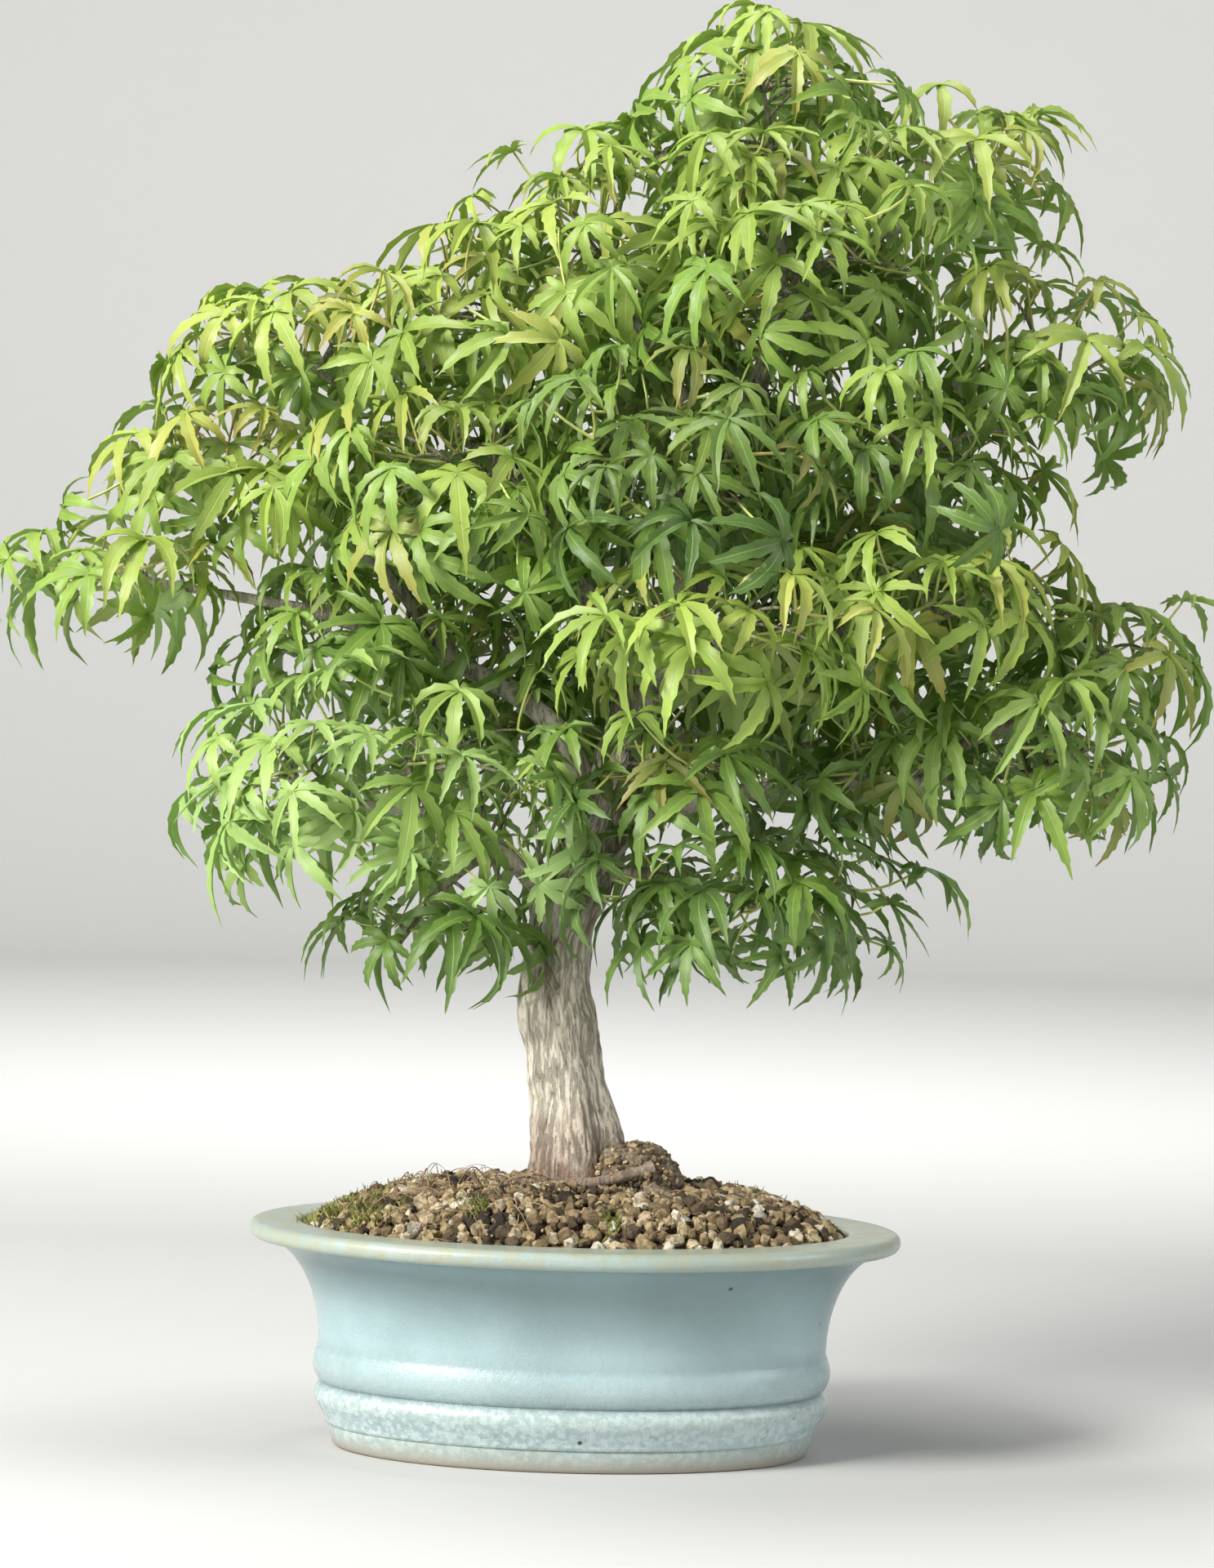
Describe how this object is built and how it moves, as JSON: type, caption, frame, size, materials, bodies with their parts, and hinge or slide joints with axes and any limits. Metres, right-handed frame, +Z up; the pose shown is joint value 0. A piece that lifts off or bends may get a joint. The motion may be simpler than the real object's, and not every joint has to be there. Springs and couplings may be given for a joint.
{
  "type": "potted maple bonsai",
  "caption": "Dwarf palmate-leaved maple grown as a small informal-upright tree, standing in an oval glazed ceramic pot with a broad flat rim.",
  "frame": {"origin": "middle of the plane that the pot's foot ring stands on", "axes": "+Z up, +X along the pot's long axis to the viewer's right, -Y towards the front of the tree"},
  "size_m": [0.3754, 0.1908, 0.4449],
  "materials": {
    "pot_glaze": "satin",
    "soil": "matte",
    "bark": "matte",
    "screen": "matte",
    "wire": "satin",
    "leaf_green": "satin",
    "leaf_lime": "satin",
    "leaf_tan": "satin"
  },
  "bodies": {
    "root": {"drain_screen_left": "screen", "drain_screen_right": "screen", "pot": "pot_glaze", "screen_staple_left": "wire", "screen_staple_right": "wire", "soil": "soil", "spray_apex_1": "leaf_lime", "spray_apex_left_1": "leaf_lime", "spray_back_left_1": "leaf_green", "spray_back_left_2": "leaf_green", "spray_back_low_1": "leaf_green", "spray_back_low_2": "leaf_green", "spray_back_low_right_1": "leaf_green", "spray_back_right_1": "leaf_green", "spray_back_right_2": "leaf_green", "spray_back_right_3": "leaf_green", "spray_back_upper_1": "leaf_green", "spray_crown_neck_1": "leaf_lime", "spray_crown_neck_2": "leaf_lime", "spray_front_centre_1": "leaf_green", "spray_front_centre_2": "leaf_green", "spray_front_left_1": "leaf_lime", "spray_front_left_2": "leaf_lime", "spray_front_left_3": "leaf_lime", "spray_front_middle_1": "leaf_lime", "spray_heart_1": "leaf_green", "spray_left_low_centre_1": "leaf_green", "spray_left_low_centre_2": "leaf_green", "spray_left_middle_1": "leaf_tan", "spray_left_shoulder_1": "leaf_tan", "spray_left_slope_1": "leaf_lime", "spray_left_slope_2": "leaf_lime", "spray_long_left_1": "leaf_lime", "spray_low_left_1": "leaf_lime", "spray_low_left_2": "leaf_lime", "spray_low_left_3": "leaf_lime", "spray_low_right_1": "leaf_green", "spray_low_right_2": "leaf_green", "spray_right_centre_1": "leaf_green", "spray_right_centre_2": "leaf_green", "spray_right_flank_1": "leaf_green", "spray_right_middle_1": "leaf_lime", "spray_right_middle_2": "leaf_lime", "spray_right_shoulder_1": "leaf_green", "spray_right_shoulder_2": "leaf_green", "spray_under_left_1": "leaf_green", "spray_under_right_1": "leaf_green", "spray_under_right_2": "leaf_green", "spray_upper_centre_1": "leaf_lime", "spray_upper_centre_2": "leaf_lime", "spray_upper_left_1": "leaf_lime", "spray_upper_right_1": "leaf_lime", "trunk_and_branches": "bark"}
  },
  "joints": []
}
